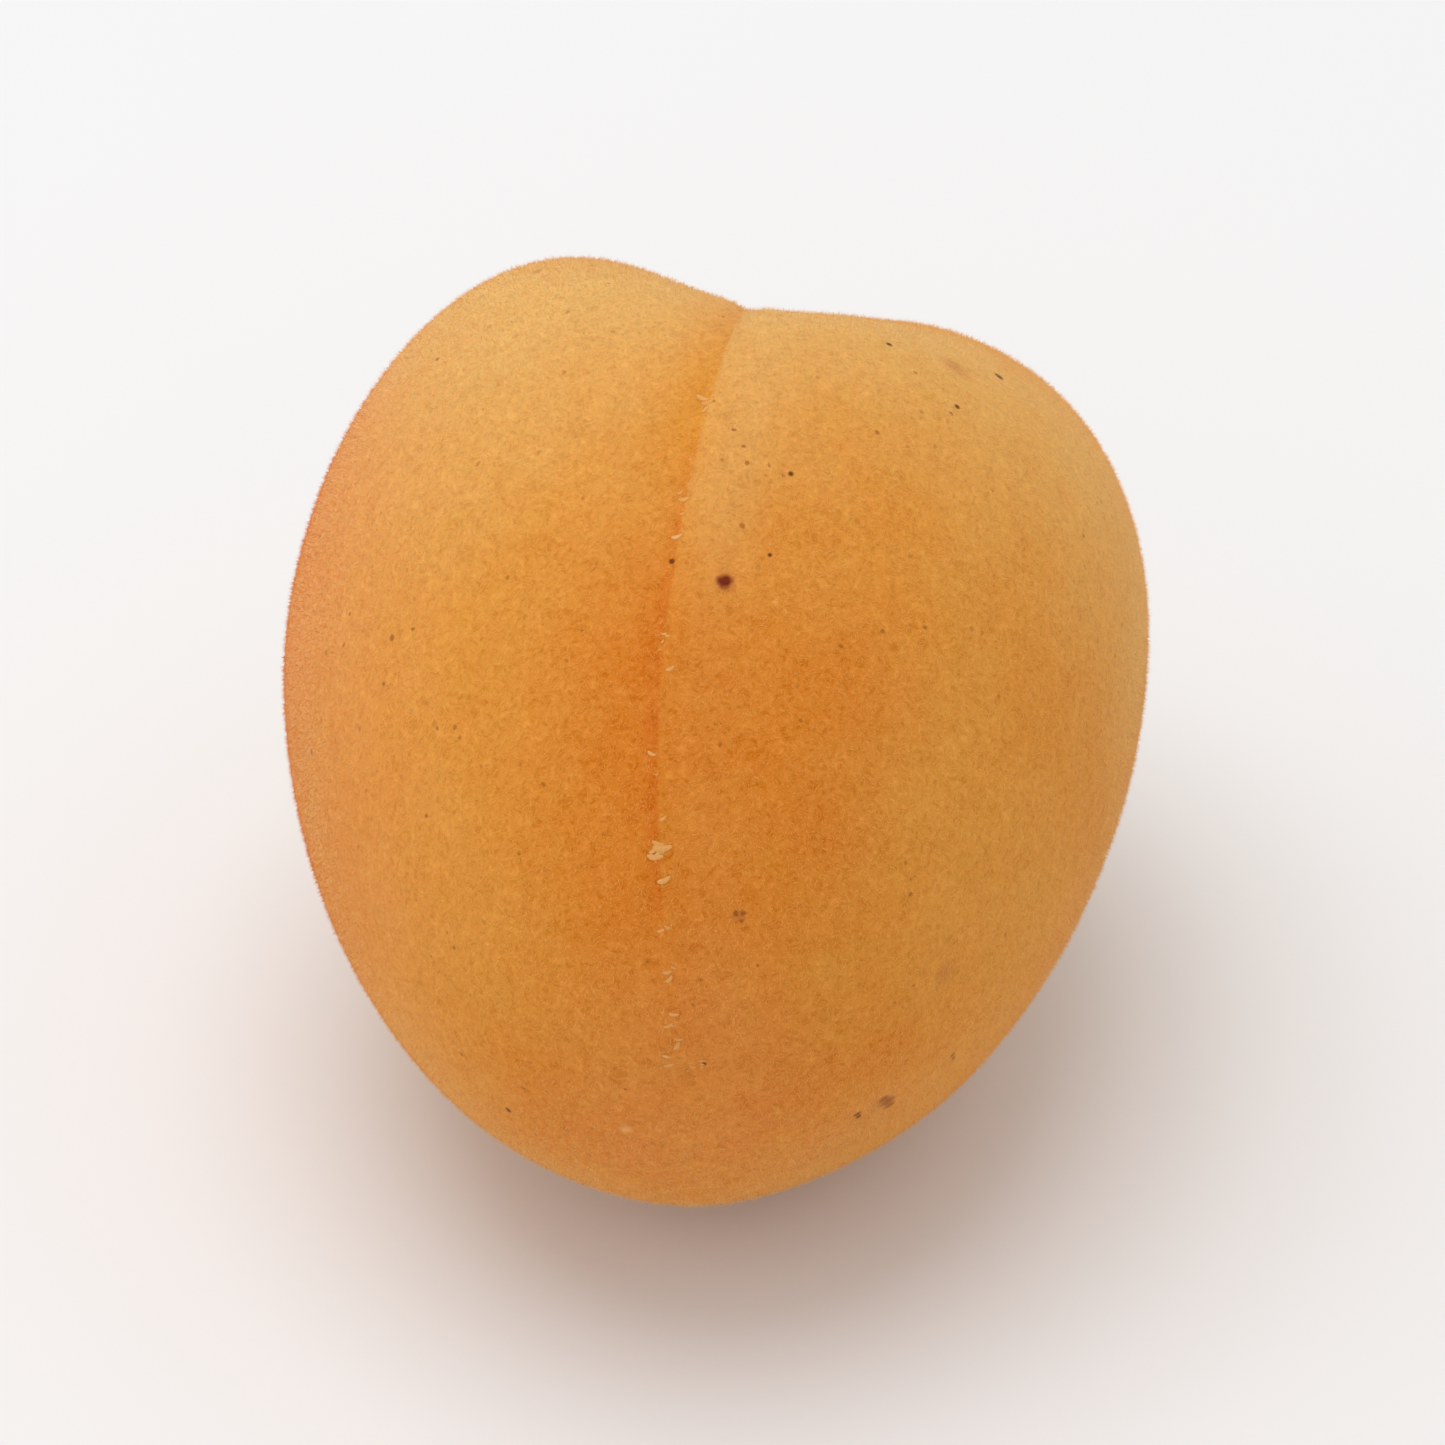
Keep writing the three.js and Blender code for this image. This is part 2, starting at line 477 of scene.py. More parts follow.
def skin_tree():
    """The fruit's skin: a net of rows from stem to tip and columns round it, shaped by the rule."""
    inputs = dict(BODY)
    for title, (_, _, rise, spread) in SWELLS.items():
        inputs[title + " rise"] = rise
        inputs[title + " spread"] = spread
    inputs["Material"] = None
    tree, given = new_tree("apricot skin", inputs)
    net = add(
        tree,
        "GeometryNodeMeshGrid",
        {"Size X": 1.0, "Size Y": 1.0, "Vertices X": SKIN_COLUMNS + 1, "Vertices Y": SKIN_ROWS + 1},
    )
    across_net, down_net, _ = add(tree, "GeometryNodeInputPosition").parts()
    polar = drawn_to_ends(0.5 - down_net, ROWS_AT_ENDS) * math.pi
    turn = drawn_to_ends(across_net + 0.5, COLUMNS_AT_SUTURE) * (2 * math.pi)
    longitude = suture_longitude(polar, given) + turn

    c, s = polar.math("COSINE"), polar.math("SINE")
    girth = s * (c * given["Stem end share"] + c * c * given["Both ends share"] + 1.0)
    half_width, half_height = given["Width"] * 0.5, given["Height"] * 0.5
    half_length = given["Length"] * 0.5
    across = half_width * girth * longitude.math("SINE")
    up = half_height * girth * longitude.math("COSINE")
    from_axis = (across * across + up * up).math("SQRT")
    towards_tip = (1.0 - c) * (1.0 - c) * 0.25
    towards_stem = (c + 1.0) * 0.5
    at_stem = c.math("GREATER_THAN", 0.0)

    back = (longitude.math("COSINE") * -1.0).math("MAXIMUM", 0.0)
    along = half_length * c + given["Back shift"] * s * s * back
    along = along + given["Slant"] * across / half_width * towards_stem
    scar = given["Scar radius"]
    funnel = given["Cavity depth"] * bell(from_axis, given["Cavity radius"])
    pit = given["Scar depth"] * smooth(scar, scar - SCAR_EDGE, from_axis)
    rim = given["Scar rim"] * bell(from_axis - scar - SCAR_RIM_AT, SCAR_RIM_WIDTH)
    dimple = given["Dimple depth"] * bell(from_axis, given["Dimple radius"])
    along = along + at_stem * (rim - funnel - pit) + (1.0 - at_stem) * dimple
    point = combine(
        across + given["Tip to the side"] * towards_tip,
        along,
        up + given["Tip down"] * towards_tip,
    )

    for title, (polar_at, longitude_at, _, _) in SWELLS.items():
        a, b = math.radians(polar_at), math.radians(longitude_at)
        top = combine(
            half_width * (math.sin(a) * math.sin(b)),
            half_length * math.cos(a),
            half_height * (math.sin(a) * math.cos(b)),
        )
        lift = given[title + " rise"] * bell(
            point.vector("DISTANCE", top, out=1), given[title + " spread"]
        )
        point = moved_out(point, lift)

    aside = half_width * girth * turn.math("SINE")
    above = half_height * girth * turn.math("COSINE")
    degrees = polar.math("DEGREES")
    left = aside.math("LESS_THAN", 0.0)
    width = given["Valley left"] * left + given["Valley right"] * (1.0 - left)
    past_notch = degrees.math("GREATER_THAN", given["Notch angle"])
    notch_spread = given["Notch spread to tip"] * past_notch
    notch_spread = notch_spread + given["Notch spread to stem"] * (1.0 - past_notch)
    depth = given["Valley depth"] * smooth(*VALLEY_POLAR, degrees)
    depth = depth + given["Notch depth"] * bell(degrees - given["Notch angle"], notch_spread)
    valley = depth * bell(aside, width) * smooth(*VALLEY_HEIGHT, above)
    line = smooth(*CREASE_STARTS_POLAR, degrees) * smooth(*CREASE_ENDS_POLAR, degrees)
    line = line * smooth(*CREASE_HEIGHT, above)
    at_stem_end = smooth(*CREASE_AT_STEM_POLAR, degrees)
    deeper_at_stem = given["Crease depth at stem"] - given["Crease depth"]
    crease = given["Crease depth"] + deeper_at_stem * at_stem_end
    crease = crease * bell(aside, given["Crease width"])
    step = (aside / given["Lip edge"]).math("TANH")
    lip = given["Lip height"] * step * bell(aside, given["Lip width"])
    lip = lip * smooth(*LIP_RISES_POLAR, degrees) * smooth(*LIP_FALLS_POLAR, degrees)
    broad = noise(point, scale=0.11, detail=1.0, seed=given["Seed"])
    small = noise(point, scale=0.5, seed=given["Seed"])
    uneven = given["Unevenness"] * (broad + small * 0.3)
    relief = (lip - crease) * line - valley + uneven
    point = moved_out(point, relief)

    x, y, z = point.parts()
    placed = combine(
        x - given["Middle x"],
        y - given["Middle y"],
        z.math("MAXIMUM", given["Floor z"]) - given["Floor z"],
    )
    measures = {"polar": degrees, "aside": aside, "above": above, "from_axis": from_axis}
    for title, value in measures.items():
        net = add(
            tree,
            "GeometryNodeStoreNamedAttribute",
            {"Geometry": net, "Name": title, "Value": value},
            data_type="FLOAT",
            domain="POINT",
        )
    shaped = add(
        tree,
        "GeometryNodeSetPosition",
        {"Geometry": net, "Position": placed.vector("SCALE", None, None, MM)},
    )
    weld = {"Geometry": shaped, "Distance": WELD_DISTANCE}
    closed = add(tree, "GeometryNodeMergeByDistance", weld)
    closed = add(tree, "GeometryNodeSetShadeSmooth", {"Geometry": closed})
    return end_tree(closed, given["Material"])


def moved_out(point, distance):
    """The point, moved away from the middle of the fruit."""
    length = point.vector("LENGTH", out=1)
    return point.vector("SCALE", None, None, (length + distance) / length)


# ---------------------------------------------------------------- the hairs


def hair_tree():
    """Short tapering hairs over one quarter of the skin, lying loosely towards the tip."""
    inputs = dict(HAIR)
    inputs.update({"Side": 1.0, "Upper": 1.0, "Seed": 1, "Material": None})
    tree, given = new_tree("apricot hairs", inputs, takes_mesh=True)
    x, y, z = add(tree, "GeometryNodeInputPosition").parts()
    on_side = (x * given["Side"]).math("GREATER_THAN", 0.0)
    on_half = ((z - HALF_HEIGHT * MM) * given["Upper"]).math("GREATER_THAN", 0.0)
    clear_of_floor = z.math("GREATER_THAN", given["Clear of the floor"] * MM)
    place = combine(x, y, z).vector("SCALE", None, None, 1 / MM)
    thick_and_thin = noise(place, scale=1.1, seed=6.0) * 0.7 + 1.0
    polar, from_axis = stored(tree, "polar"), stored(tree, "from_axis")
    outside_scar = 1.0 - polar.math("LESS_THAN", 90.0) * smooth(*HAIRLESS_RADIUS, from_axis)
    density = given["Hairs per mm2"] * PER_SQUARE_MM * (on_side * on_half)
    density = density * clear_of_floor * outside_scar * thick_and_thin
    points, normal = scattered(given["Geometry"], density, given["Seed"])
    bare = closest(place, BARE_MARKS).math("LESS_THAN", 1.0)
    points = add(
        tree, "GeometryNodeDeleteGeometry", {"Geometry": points, "Selection": bare}, domain="POINT"
    )

    towards_tip = (0.0, -1.0, 0.0)
    lie = normal.vector("CROSS_PRODUCT", towards_tip).vector("CROSS_PRODUCT", normal)
    stray = random_value(tree, "FLOAT_VECTOR", (-1.0,) * 3, (1.0,) * 3, given["Seed"])
    stray = stray.vector("SCALE", None, None, given["Disorder"])
    lie = lie.vector("SCALE", None, None, given["Lie towards the tip"])
    direction = normal.vector("ADD", lie).vector("ADD", stray)
    turned = add(
        tree,
        "FunctionNodeAlignRotationToVector",
        {"Vector": direction.vector("NORMALIZE")},
        axis="Z",
    )
    hair = add(
        tree,
        "GeometryNodeMeshCone",
        {
            "Vertices": 3,
            "Side Segments": 1,
            "Fill Segments": 1,
            "Radius Top": 0.0,
            "Radius Bottom": given["Thickness"] * (0.5 * MM),
            "Depth": given["Length"] * MM,
        },
        fill_type="NGON",
    )
    size = random_value(tree, "FLOAT", *HAIR_SIZES, given["Seed"] + 7)
    placed = add(
        tree,
        "GeometryNodeInstanceOnPoints",
        {"Points": points, "Instance": hair, "Rotation": turned, "Scale": combine(1.0, 1.0, size)},
    )
    return end_tree(placed, given["Material"])


def stored(tree, name):
    """A measure that the skin's own tree left on the skin."""
    return add(tree, "GeometryNodeInputNamedAttribute", {"Name": name}, data_type="FLOAT")


def scattered(mesh, per_square_metre, seed):
    """Points strewn over the mesh, and the skin's normal at each."""
    tree = mesh.tree
    spread = tree.nodes.new("GeometryNodeDistributePointsOnFaces")
    for name, value in (("Mesh", mesh), ("Density", per_square_metre), ("Seed", seed)):
        tree.links.new(value.socket, spread.inputs[name])
    return Value(tree, spread.outputs["Points"]), Value(tree, spread.outputs["Normal"])


def random_value(tree, kind, low, high, seed):
    """A seeded random number or vector between low and high, fresh at each point."""
    node = tree.nodes.new("FunctionNodeRandomValue")
    node.data_type = kind
    names = [s for s in node.inputs if s.enabled]
    names[0].default_value = low
    names[1].default_value = high
    tree.links.new(seed.socket, node.inputs["Seed"])
    return Value(tree, next(out for out in node.outputs if out.enabled))


# ---------------------------------------------------------------- the flakes and the stem scar


def flake_tree():
    """Curled dry flakes of skin along the suture and round the blossom's scar."""
    inputs = dict(FLAKE)
    inputs.update({"Seed": 21, "Material": None})
    tree, given = new_tree("apricot flakes", inputs, takes_mesh=True)
    polar, aside, above = (stored(tree, n) for n in ("polar", "aside", "above"))
    on_line = bell(aside, FLAKE_LINE_WIDTH) * above.math("GREATER_THAN", 0.0)
    crowd = given["Flakes along the line"] * smooth(*FLAKES_START_POLAR, polar)
    crowd = crowd * smooth(*FLAKES_END_POLAR, polar)
    for angle, spread, flakes_per_mm2 in FLAKE_CLUSTERS:
        crowd = crowd + bell(polar - angle, spread) * flakes_per_mm2
    place = add(tree, "GeometryNodeInputPosition").vector("SCALE", None, None, 1 / MM)
    scar = combine(given["Ring x"], given["Ring y"], given["Ring z"])
    from_scar = place.vector("DISTANCE", scar, out=1)
    ring = bell(from_scar - given["Ring radius"], FLAKE_RING_WIDTH)
    density = (crowd * on_line + given["Flakes in the ring"] * ring) * PER_SQUARE_MM
    points, normal = scattered(given["Geometry"], density, given["Seed"])

    ball = add(tree, "GeometryNodeMeshIcoSphere", {"Radius": 0.5, "Subdivisions": 2})
    x, y, z = add(tree, "GeometryNodeInputPosition").parts()
    length = given["Length"] * MM
    narrow = y * (0.36 - x * 0.2) + x * x * given["Bend"]
    curled = z * given["Thickness"] * MM + x * x * given["Curl"] * length
    bent = combine(x * length, narrow * length, curled)
    flake = add(tree, "GeometryNodeSetPosition", {"Geometry": ball, "Position": bent})
    upright = add(tree, "FunctionNodeAlignRotationToVector", {"Vector": normal}, axis="Z")
    angle = random_value(tree, "FLOAT", *FLAKE_ANGLES, given["Seed"] + 3)
    spin = add(tree, "FunctionNodeAxisAngleToRotation", {"Axis": (0.0, 0.0, 1.0), "Angle": angle})
    turned = add(
        tree,
        "FunctionNodeRotateRotation",
        {"Rotation": upright, "Rotate By": spin},
        rotation_space="LOCAL",
    )
    size = random_value(tree, "FLOAT", *FLAKE_SIZES, given["Seed"] + 9)
    in_middle = bell(polar - LARGE_FLAKES_POLAR, LARGE_FLAKES_SPREAD)
    size = size * (1.0 + in_middle * given["Larger in the middle"])
    size = size * (1.0 - smooth(*SMALL_FLAKES_POLAR, polar) * given["Smaller by the tip"])
    scale = combine(size, size, size)
    placed = add(
        tree,
        "GeometryNodeInstanceOnPoints",
        {"Points": points, "Instance": flake, "Rotation": turned, "Scale": scale},
    )
    return end_tree(placed, given["Material"])


def stem_scar_tree():
    """The dry end of the stalk's bundles, sunk in the pit: a rough plug with a torn rim."""
    inputs = {**STEM_SCAR, "X": 0.0, "Y": 0.0, "Z": 0.0, "Material": None}
    tree, given = new_tree("stem scar", inputs)
    size = {"Segments": SCAR_SEGMENTS, "Rings": SCAR_RINGS, "Radius": 1.0}
    ball = add(tree, "GeometryNodeMeshUVSphere", size)
    x, y, z = add(tree, "GeometryNodeInputPosition").parts()
    around = x.math("ARCTAN2", z)
    out = (x * x + z * z).math("SQRT")
    ball_place = combine(x, y, z)
    ripple = (around * SCAR_BUNDLES).math("SINE") * 0.5 + 0.5
    bundles = bell(out - BUNDLES_AT, BUNDLE_WIDTH) * ripple
    drawn_out = ball_place.vector("MULTIPLY", (1.0, 0.3, 1.0))
    rough = noise(drawn_out, scale=3.2, detail=4.0, seed=2.0, roughness=0.65)
    height = smooth(0.35, 0.95, out) * 0.55 + bundles * 0.35 + rough * 0.4 - 0.2
    wavy = 1.0 + noise(ball_place, scale=1.4, seed=5.0) * 0.07
    radius = given["Radius"] * wavy
    point = combine(
        x * radius + given["X"],
        y * given["Thickness"] * 0.5 + height * given["Roughness"] * 2.0 + given["Y"],
        z * radius + given["Z"],
    )
    plug = add(
        tree,
        "GeometryNodeSetPosition",
        {"Geometry": ball, "Position": point.vector("SCALE", None, None, MM)},
    )
    plug = add(tree, "GeometryNodeSetShadeSmooth", {"Geometry": plug})
    return end_tree(plug, given["Material"])


def bottom_of_pit(skin):
    """Where the skin's pole lies at the stem end, in millimetres."""
    quarter_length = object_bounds()[1][1] * 0.5
    from_axis = skin.data.attributes["from_axis"].data
    at_stem_end = [v for v in skin.data.vertices if v.co.y > quarter_length]
    pole = min(at_stem_end, key=lambda v: from_axis[v.index].value)
    return pole.co / MM


# ---------------------------------------------------------------- materials


def new_material(name):
    """A new material, with its node tree and its shader."""
    material = bpy.data.materials.new(name)
    material.use_nodes = True
    tree = material.node_tree
    return material, tree, tree.nodes["Principled BSDF"]


def mix_colour(amount, one, other, blend="MIX"):
    """From one colour to the other by the amount; each may be a Value or a constant."""
    tree = next(v.tree for v in (amount, one, other) if isinstance(v, Value))
    node = tree.nodes.new("ShaderNodeMix")
    node.data_type = "RGBA"
    node.blend_type = blend
    for slot, value in ((node.inputs[0], amount), (node.inputs[6], one), (node.inputs[7], other)):
        if isinstance(value, Value):
            tree.links.new(value.socket, slot)
        elif slot.type == "RGBA":
            slot.default_value = (*value, 1.0)
        else:
            slot.default_value = value
    return Value(tree, node.outputs[2])


def attribute(tree, name):
    """A measure that the skin's own tree left on the piece, for its material."""
    return add(tree, "ShaderNodeAttribute", out="Fac", attribute_name=name)


def object_place(tree):
    """The place on the piece, in millimetres."""
    return add(tree, "ShaderNodeTexCoord", out="Object").vector("SCALE", None, None, 1 / MM)


def shaken(place, scale, detail, reach):
    """The place, moved a little by coloured noise, so that edges and strands waver."""
    inputs = {"Vector": place, "Scale": scale, "Detail": detail}
    shake = add(place.tree, "ShaderNodeTexNoise", inputs, out="Color")
    shake = shake.vector("SUBTRACT", (0.5, 0.5, 0.5)).vector("SCALE", None, None, reach)
    return place.vector("ADD", shake)


def cells(place, scale):
    """Distance to the nearest of many points strewn through space, in cell widths."""
    inputs = {"Vector": place, "Scale": scale}
    return add(place.tree, "ShaderNodeTexVoronoi", inputs, out="Distance")


def closest(place, marks):
    """How far the nearest mark is, as a share of its radius."""
    nearest = None
    for x, y, z, radius in marks:
        share = place.vector("DISTANCE", (x, y, z), out=1) / radius
        nearest = share if nearest is None else nearest.math("MINIMUM", share)
    return nearest


def ripeness_and_sheen(place, polar, aside, top_side):
    """Pale at the shoulders, partly painted sheen that is stronger on the upper side, gold and orange
    over the cheeks, deeper beside the suture.
    """
    x, y, z = place.parts()
    broad = noise(place, scale=0.055, seed=1.0)
    patches = noise(place, scale=0.2, detail=3.0, seed=2.0)
    colour = mix_colour(smooth(-0.5, 0.5, broad * 0.6 + patches * 0.4), GOLD, ORANGE)

    uneven_polar = polar + patches * 10.0 + broad * 10.0
    # The paler shoulders are partly painted sheen, stronger on the upper side where the light falls.
    shoulders = smooth(*SHOULDER_POLAR, uneven_polar) * (top_side * 0.3 + 0.7)
    shoulder_tone = mix_colour(smooth(3, 15, x) * 0.35, PALE_GOLD, STEM_GOLD)
    colour = mix_colour(shoulders, colour, shoulder_tone)
    colour = mix_colour(smooth(*STEM_END_POLAR, polar), colour, STEM_GOLD)
    blotches = smooth(0.0, 0.45, noise(place, scale=0.13, seed=15.0)) * smooth(*BLOTCHES_Y, y)
    colour = mix_colour(blotches * 0.45, colour, ORANGE)

    beside_suture = bell(aside - 0.5, 8.5) * top_side * smooth(*RIPE_POLAR, polar)
    under_tip = smooth(*UNDER_TIP_POLAR, polar) * (1.0 - top_side)
    ripe = (beside_suture + under_tip) * (patches * 0.5 + 0.85)
    near_tip = smooth(*TIP_TONE_POLAR, polar) * 0.6 + smooth(22, 12, z) * 0.4
    ripe_tone = mix_colour(near_tip, RIPE, UNDER_TIP)
    colour = mix_colour(ripe.math("MINIMUM", 1.0), colour, ripe_tone)
    for centre_x, centre_y, centre_z, radius in RIPE_PATCHES:
        reach = place.vector("DISTANCE", (centre_x, centre_y, centre_z), out=1)
        colour = mix_colour(bell(reach + patches * 2.0, radius) * 0.39, colour, DEEP)

    blush = smooth(*BLUSH_X, x + patches * 4.0 + broad * 3.0) * (broad * 0.5 + 0.6)
    return mix_colour(blush, colour, BLUSH)


def suture_colour(place, polar, aside, top_side, colour):
    """A deeper orange band that ends sharply at the groove, partly painted shade in the valley on its
    left, and the paler lip beyond it, partly a painted highlight where the lip catches the light; the
    dark line along the groove is painted shade in the crease, and the dark line by the stem is partly
    painted shade in its crease.
    """
    ragged = aside + noise(place, scale=0.8, detail=3.0, seed=12.0) * 0.16
    # Partly painted shade: a deeper orange band in the valley on the left side of the groove.
    shade = smooth(0.1, -0.1, ragged) * bell(aside, 2.6) * top_side
    colour = mix_colour(shade * bell(polar - RICH_POLAR, 16.0) * 0.55, colour, RICH)
    strength = smooth(*DEEP_POLAR, polar) * smooth(*DEEP_ENDS_POLAR, polar) * 0.34
    strength = strength + bell(polar - DEEP_AT_NOTCH_POLAR, 9.0) * 0.25
    colour = mix_colour(shade * strength, colour, DEEP)

    # Partly a painted highlight: the paler lip on the right of the groove, where it catches the
    # light.
    pale = smooth(-0.05, 0.3, ragged) * bell(aside - 2.3, 2.0) * top_side
    strength = smooth(*PALE_LIP_POLAR, polar) * 0.34 + 0.10
    strength = strength * smooth(*LIP_STARTS_POLAR, polar) * smooth(*LIP_ENDS_POLAR, polar)
    colour = mix_colour(pale * strength, colour, PALE_GOLD)

    broken = smooth(-0.35, 0.35, noise(place, scale=0.55, seed=8.0))
    # Painted shade in the crease: a darker broken line along the groove.
    groove = smooth(-0.85, -0.25, ragged) * smooth(0.15, -0.05, ragged) * top_side
    groove = groove * smooth(*GROOVE_POLAR, polar) * smooth(*GROOVE_ENDS_POLAR, polar)
    colour = mix_colour(groove * (broken * 0.7 + 0.3) * 0.6, colour, GROOVE_SHADE)

    beside_stem = bell(aside, 1.7) * top_side * smooth(*BESIDE_STEM_POLAR, polar)
    colour = mix_colour(beside_stem * 0.4, colour, RIPE)
    # Partly painted shade: the dark line in the crease by the stem.
    stem_line = bell(ragged, 0.38) * top_side * smooth(*STEM_LINE_POLAR, polar)
    return mix_colour(stem_line * 0.85, colour, STEM_LINE)


def stem_end_colour(place, polar, from_axis, colour):
    """Brown and greyed skin round the pit the stem left."""
    at_stem = polar.math("LESS_THAN", 90.0)
    ragged = from_axis + noise(place, scale=0.5, detail=3.0, seed=9.0) * 0.9
    colour = mix_colour(smooth(*RUST_RADIUS, ragged) * at_stem * 0.5, colour, STEM_RUST)
    colour = mix_colour(smooth(*GREY_RADIUS, ragged) * at_stem * 0.55, colour, STEM_GREY)
    torn = from_axis + noise(place, scale=1.5, seed=9.0) * 0.25
    return mix_colour(smooth(*BARK_RADIUS, torn) * at_stem, colour, BARK)


def marks_colour(place, colour):
    """Scuffs, brown marks, the dark spot and the dots, then the strewn marks and the specks."""
    here = shaken(place, scale=3.0, detail=0.0, reach=0.16)
    rubbed = closest(here, SCUFFS) + noise(place, scale=1.2, detail=3.0, seed=7.0) * 0.5
    colour = mix_colour(smooth(1.2, 0.1, rubbed) * 0.55, colour, SCUFF_TAN)
    brown = smooth(1.3, 0.4, closest(here, BROWN_MARKS))
    colour = mix_colour(brown * 0.75, colour, MARK_BROWN)
    to_spot = closest(here, DARK_SPOT)
    colour = mix_colour(smooth(2.2, 0.9, to_spot) * 0.3, colour, SPOT_HALO)
    colour = mix_colour(smooth(1.4, 0.5, to_spot), colour, SPOT_MAROON)
    dots = smooth(1.5, 0.6, closest(place, DARK_DOTS))
    colour = mix_colour(dots * 0.95, colour, DOT_BROWN)
    colour = strewn_marks_colour(place, here, colour)
    dry = closest(here, PALE_SPECKS) + noise(place, scale=3.0, seed=3.0) * 0.4
    return mix_colour(smooth(1.2, 0.2, dry) * 0.45, colour, SPECK_CREAM)


def strewn_marks_colour(place, here, colour):
    """Brown marks behind and below, red dots on the blush, and pores in patches all over."""
    x, y, z = place.parts()
    below = smooth(*BROWN_MARKS_BELOW_Z, z) * smooth(*BROWN_MARKS_BELOW_Y, y)
    behind_or_below = (smooth(*BROWN_MARKS_BEHIND_Y, y) + below).math("MINIMUM", 1.0)
    brown = smooth(0.09, 0.04, cells(here.vector("MULTIPLY", (1.3, 0.8, 1.0)), 0.2))
    colour = mix_colour(brown * behind_or_below * 0.7, colour, MARK_BROWN)

    dots = smooth(0.15, 0.07, cells(here, 0.9))
    red_dots = dots * smooth(*RED_DOTS_X, x) * smooth(*RED_DOTS_Y, y)
    colour = mix_colour(red_dots * 0.4, colour, DOT_RED)
    kind = noise(place, scale=0.3, detail=1.0, seed=9.0)
    colour = mix_colour(dots * smooth(0.15, 0.3, kind) * 0.6, colour, PORE_DARK)
    return mix_colour(dots * smooth(-0.1, 0.1, kind) * 0.4, colour, PORE_LIGHT)


def fuzzy_grain(place):
    """Curling strands with dark gaps between them, from about -1 to 1."""
    curled = shaken(place, scale=1.1, detail=1.0, reach=1.6)
    wide = noise(curled, scale=1.6, detail=1.0, seed=21.0).math("ABSOLUTE")
    narrow = noise(curled, scale=2.3, detail=1.0, seed=31.0).math("ABSOLUTE")
    strands = smooth(0.22, 0.02, wide).math("MAXIMUM", smooth(0.2, 0.02, narrow))
    fine = noise(place, scale=3.0, seed=4.0, roughness=0.7)
    soft = noise(place, scale=1.5, detail=1.0, seed=5.0)
    return fine + soft * 0.5 + strands * 0.7 - 0.4


def skin_material():
    """Matt velvety skin: its ripeness with painted sheen on the shoulders, the suture with painted
    shade and highlight beside the groove, the stem end, the marks and the grain.
    """
    material, tree, shader = new_material("apricot_skin")
    place = object_place(tree)
    polar, aside = attribute(tree, "polar"), attribute(tree, "aside")
    above, from_axis = attribute(tree, "above"), attribute(tree, "from_axis")
    top_side = smooth(-3.0, 3.0, above)
    colour = ripeness_and_sheen(place, polar, aside, top_side)
    colour = suture_colour(place, polar, aside, top_side, colour)
    colour = stem_end_colour(place, polar, from_axis, colour)
    mottle = noise(place, scale=0.42, detail=3.0, seed=14.0, roughness=0.6)
    colour = mix_colour(smooth(0.1, 0.7, mottle) * 0.35, colour, MOTTLE_LIGHT)
    colour = mix_colour(smooth(0.1, 0.7, mottle * -1.0) * 0.35, colour, MOTTLE_DEEP)
    grain = fuzzy_grain(place)
    colour = mix_colour(smooth(0.0, 0.9, grain), colour, GRAIN, "ADD")
    colour = mix_colour(smooth(0.0, 0.9, grain * -1.0), colour, GRAIN, "SUBTRACT")
    colour = marks_colour(place, colour)
    tree.links.new(colour.socket, shader.inputs["Base Color"])

    shader.inputs["Roughness"].default_value = 0.6
    shader.inputs["Specular IOR Level"].default_value = 0.12
    shader.inputs["Subsurface Weight"].default_value = 0.3
    shader.inputs["Subsurface Radius"].default_value = (1.0, 0.4, 0.12)
    shader.inputs["Subsurface Scale"].default_value = 0.0022
    shader.inputs["Sheen Weight"].default_value = 0.04
    shader.inputs["Sheen Roughness"].default_value = 0.4
    shader.inputs["Sheen Tint"].default_value = (1.0, 0.86, 0.68, 1.0)
    bump = add(tree, "ShaderNodeBump", {"Strength": 0.35, "Distance": 0.00012, "Height": grain})
    tree.links.new(bump.socket, shader.inputs["Normal"])
    return material


def hair_material():
    """Pale gold hairs, paler at the shoulders and low down, partly painted sheen along those rims,
    warmer over the blush.
    """
    material, tree, shader = new_material("apricot_fuzz")
    x, y, z = object_place(tree).parts()
    low_down = smooth(24, 14, z)
    # Partly painted sheen: paler hairs at the shoulders and along the low front and low right rims.
    pale = smooth(*PALE_HAIR_POLAR, attribute(tree, "polar"))
    pale = pale + (smooth(-12, -18, y) + smooth(10, 18, x) * 0.7) * low_down
    colour = mix_colour(pale, HAIR_GOLD, HAIR_PALE)
    right_shoulder = smooth(12, 18, x) * smooth(24, 32, z)
    warm = smooth(*WARM_HAIR_X, x) + right_shoulder * 0.25
    colour = mix_colour(warm, colour, HAIR_WARM)
    tree.links.new(colour.socket, shader.inputs["Base Color"])
    shader.inputs["Roughness"].default_value = 0.7
    shader.inputs["Specular IOR Level"].default_value = 0.15
    return material


def flake_material():
    """Thin dry skin that lets a little light through."""
    material, tree, shader = new_material("dry_flake")
    place = object_place(tree)
    streaks = smooth(-0.6, 0.6, noise(place, scale=3.0, detail=3.0, seed=3.0))
    colour = mix_colour(streaks, FLAKE_TAN, FLAKE_CREAM)
    tree.links.new(colour.socket, shader.inputs["Base Color"])
    shader.inputs["Roughness"].default_value = 0.8
    shader.inputs["Specular IOR Level"].default_value = 0.1
    shader.inputs["Subsurface Weight"].default_value = 0.2
    shader.inputs["Subsurface Radius"].default_value = (1.0, 0.6, 0.3)
    shader.inputs["Subsurface Scale"].default_value = 0.0003
    return material


